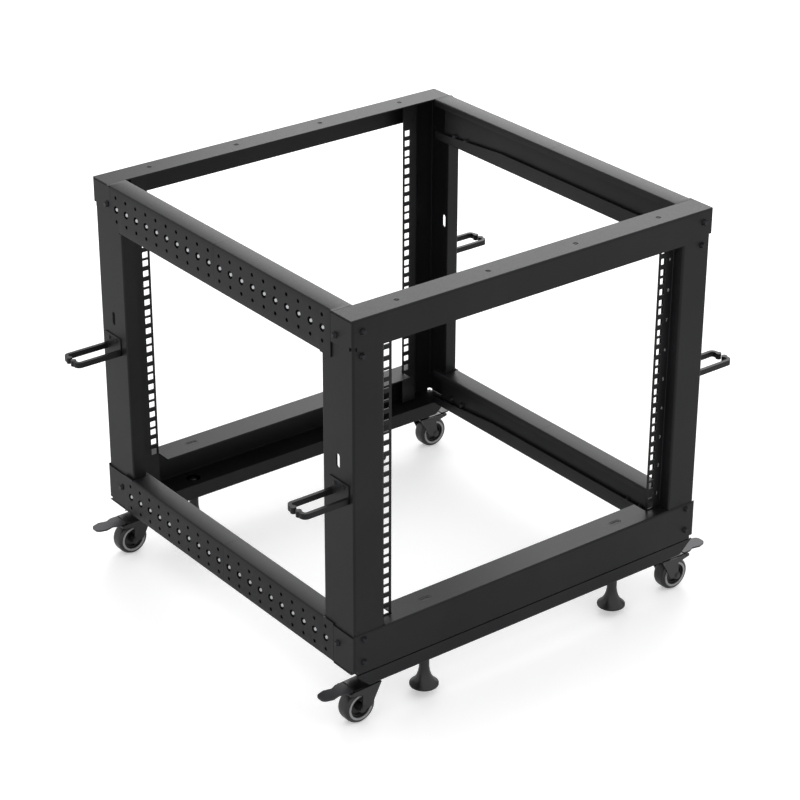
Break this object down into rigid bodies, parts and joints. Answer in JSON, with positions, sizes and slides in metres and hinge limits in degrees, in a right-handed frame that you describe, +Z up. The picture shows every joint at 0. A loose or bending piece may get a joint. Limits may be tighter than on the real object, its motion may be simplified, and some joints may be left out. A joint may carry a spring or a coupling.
{
  "type": "four post open frame rack",
  "caption": "Open four-post 19 inch equipment rack: bent-steel posts with square-hole rails, telescoping perforated side beams, cable loops, locking casters and levelling feet.",
  "frame": {"origin": "on the floor at the middle of the footprint", "axes": "+X to the right along the front, -Y is the front, +Z up"},
  "size_m": [0.736, 0.6, 0.5881],
  "materials": {
    "powder_coat": "satin black powder coat",
    "fork_steel": "black coated pressed steel",
    "pedal_steel": "grey coated steel",
    "tyre": "satin black polyurethane",
    "hub": "grey moulded",
    "foot": "black"
  },
  "bodies": {
    "frame": {"post_front_left": "powder_coat", "post_front_right": "powder_coat", "post_rear_left": "powder_coat", "post_rear_right": "powder_coat", "beam_top_front": "powder_coat", "beam_top_rear": "powder_coat", "beam_bottom_front": "powder_coat", "beam_bottom_rear": "powder_coat", "side_beam_top_left_outer": "powder_coat", "side_beam_top_left_inner": "powder_coat", "side_beam_top_right_outer": "powder_coat", "side_beam_top_right_inner": "powder_coat", "side_beam_bottom_left_outer": "powder_coat", "side_beam_bottom_left_inner": "powder_coat", "side_beam_bottom_right_outer": "powder_coat", "side_beam_bottom_right_inner": "powder_coat", "caster_bar_front": "powder_coat", "caster_bar_rear": "powder_coat", "cable_ring_front_left": "powder_coat", "cable_ring_front_right": "powder_coat", "cable_ring_rear_left": "powder_coat", "cable_ring_rear_right": "powder_coat"},
    "swivel_front_left": {"caster_fork_front_left": "fork_steel"},
    "wheel_front_left": {"caster_tyre_front_left": "tyre", "caster_hub_front_left": "hub"},
    "brake_pedal_front_left": {"caster_pedal_front_left": "pedal_steel"},
    "foot_front_left": {"levelling_foot_front_left": "foot"},
    "swivel_front_right": {"caster_fork_front_right": "fork_steel"},
    "wheel_front_right": {"caster_tyre_front_right": "tyre", "caster_hub_front_right": "hub"},
    "brake_pedal_front_right": {"caster_pedal_front_right": "pedal_steel"},
    "foot_front_right": {"levelling_foot_front_right": "foot"},
    "swivel_rear_left": {"caster_fork_rear_left": "fork_steel"},
    "wheel_rear_left": {"caster_tyre_rear_left": "tyre", "caster_hub_rear_left": "hub"},
    "brake_pedal_rear_left": {"caster_pedal_rear_left": "pedal_steel"},
    "foot_rear_left": {"levelling_foot_rear_left": "foot"},
    "swivel_rear_right": {"caster_fork_rear_right": "fork_steel"},
    "wheel_rear_right": {"caster_tyre_rear_right": "tyre", "caster_hub_rear_right": "hub"},
    "brake_pedal_rear_right": {"caster_pedal_rear_right": "pedal_steel"},
    "foot_rear_right": {"levelling_foot_rear_right": "foot"}
  },
  "joints": [
    {"name": "caster_swivel_front_left", "type": "hinge", "parent": "frame", "child": "swivel_front_left", "pos_m": [-0.263, -0.278, 0.0615], "axis": [0, 0, 1], "continuous": true},
    {"name": "wheel_spin_front_left", "type": "hinge", "parent": "swivel_front_left", "child": "wheel_front_left", "pos_m": [-0.281, -0.278, 0.024], "axis": [0, 1, 0], "continuous": true},
    {"name": "brake_pedal_press_front_left", "type": "hinge", "parent": "swivel_front_left", "child": "brake_pedal_front_left", "pos_m": [-0.298, -0.278, 0.05228], "axis": [0, -1, 0], "range_deg": [0, 12]},
    {"name": "foot_screw_front_left", "type": "slide", "parent": "frame", "child": "foot_front_left", "axis": [0, 0, 1], "range_m": [-0.02, 0.005]},
    {"name": "caster_swivel_front_right", "type": "hinge", "parent": "frame", "child": "swivel_front_right", "pos_m": [0.263, -0.278, 0.0615], "axis": [0, 0, 1], "continuous": true},
    {"name": "wheel_spin_front_right", "type": "hinge", "parent": "swivel_front_right", "child": "wheel_front_right", "pos_m": [0.281, -0.278, 0.024], "axis": [0, 1, 0], "continuous": true},
    {"name": "brake_pedal_press_front_right", "type": "hinge", "parent": "swivel_front_right", "child": "brake_pedal_front_right", "pos_m": [0.298, -0.278, 0.05228], "axis": [0, 1, 0], "range_deg": [0, 12]},
    {"name": "foot_screw_front_right", "type": "slide", "parent": "frame", "child": "foot_front_right", "axis": [0, 0, 1], "range_m": [-0.02, 0.005]},
    {"name": "caster_swivel_rear_left", "type": "hinge", "parent": "frame", "child": "swivel_rear_left", "pos_m": [-0.263, 0.278, 0.0615], "axis": [0, 0, 1], "continuous": true},
    {"name": "wheel_spin_rear_left", "type": "hinge", "parent": "swivel_rear_left", "child": "wheel_rear_left", "pos_m": [-0.281, 0.278, 0.024], "axis": [0, 1, 0], "continuous": true},
    {"name": "brake_pedal_press_rear_left", "type": "hinge", "parent": "swivel_rear_left", "child": "brake_pedal_rear_left", "pos_m": [-0.298, 0.278, 0.05228], "axis": [0, -1, 0], "range_deg": [0, 12]},
    {"name": "foot_screw_rear_left", "type": "slide", "parent": "frame", "child": "foot_rear_left", "axis": [0, 0, 1], "range_m": [-0.02, 0.005]},
    {"name": "caster_swivel_rear_right", "type": "hinge", "parent": "frame", "child": "swivel_rear_right", "pos_m": [0.263, 0.278, 0.0615], "axis": [0, 0, 1], "continuous": true},
    {"name": "wheel_spin_rear_right", "type": "hinge", "parent": "swivel_rear_right", "child": "wheel_rear_right", "pos_m": [0.281, 0.278, 0.024], "axis": [0, 1, 0], "continuous": true},
    {"name": "brake_pedal_press_rear_right", "type": "hinge", "parent": "swivel_rear_right", "child": "brake_pedal_rear_right", "pos_m": [0.298, 0.278, 0.05228], "axis": [0, 1, 0], "range_deg": [0, 12]},
    {"name": "foot_screw_rear_right", "type": "slide", "parent": "frame", "child": "foot_rear_right", "axis": [0, 0, 1], "range_m": [-0.02, 0.005]}
  ]
}
